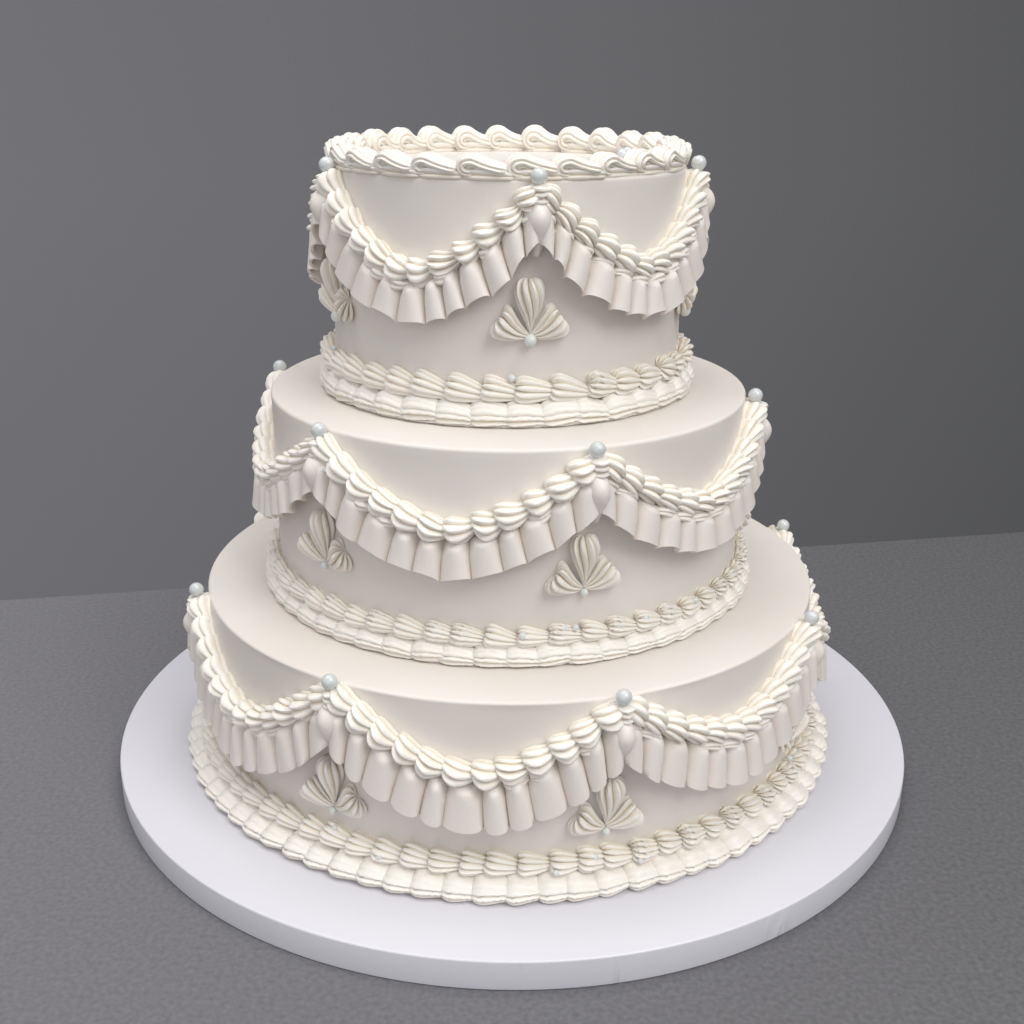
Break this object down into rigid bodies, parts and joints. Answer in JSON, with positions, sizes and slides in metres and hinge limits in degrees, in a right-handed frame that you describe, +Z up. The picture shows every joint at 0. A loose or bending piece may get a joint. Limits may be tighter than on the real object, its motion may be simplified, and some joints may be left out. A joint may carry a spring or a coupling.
{
  "type": "tiered cake",
  "caption": "Tiered celebration cake on a round drum board, iced smooth, with piped shell swags, pleated ruffles, shell borders and sugar pearls.",
  "frame": {"origin": "middle of the underside of the drum board", "axes": "+Z up; the front of the cake faces -Y"},
  "size_m": [0.4064, 0.4064, 0.3109],
  "materials": {
    "icing": "smooth satin warm white icing",
    "piping": "satin cream-white piped icing",
    "pearl": "pearly pale grey-blue sugar",
    "drum_foil": "semi-gloss cool white embossed foil paper"
  },
  "bodies": {
    "root": {"board": "drum_foil", "tier_bottom": "icing", "tier_middle": "icing", "tier_top": "icing", "border_lower_bottom": "piping", "border_lower_middle": "piping", "border_lower_top": "piping", "border_upper_bottom": "piping", "border_upper_middle": "piping", "border_upper_top": "piping", "garland_bottom": "piping", "garland_middle": "piping", "garland_top": "piping", "ruffle_bottom": "piping", "ruffle_middle": "piping", "ruffle_top": "piping", "top_border": "piping", "fleur_bottom_1": "piping", "fleur_bottom_2": "piping", "fleur_bottom_3": "piping", "fleur_bottom_4": "piping", "fleur_bottom_5": "piping", "fleur_bottom_6": "piping", "fleur_bottom_7": "piping", "fleur_bottom_8": "piping", "fleur_middle_1": "piping", "fleur_middle_2": "piping", "fleur_middle_3": "piping", "fleur_middle_4": "piping", "fleur_middle_5": "piping", "fleur_middle_6": "piping", "fleur_top_1": "piping", "fleur_top_2": "piping", "fleur_top_3": "piping", "fleur_top_4": "piping", "fleur_top_5": "piping", "pearl_bottom_1": "pearl", "pearl_bottom_2": "pearl", "pearl_bottom_3": "pearl", "pearl_bottom_4": "pearl", "pearl_bottom_5": "pearl", "pearl_bottom_6": "pearl", "pearl_bottom_7": "pearl", "pearl_bottom_8": "pearl", "pearl_middle_1": "pearl", "pearl_middle_2": "pearl", "pearl_middle_3": "pearl", "pearl_middle_4": "pearl", "pearl_middle_5": "pearl", "pearl_middle_6": "pearl", "pearl_top_1": "pearl", "pearl_top_2": "pearl", "pearl_top_3": "pearl", "pearl_top_4": "pearl", "pearl_top_5": "pearl", "pearl_loose_1": "pearl", "pearl_loose_2": "pearl"}
  },
  "joints": []
}
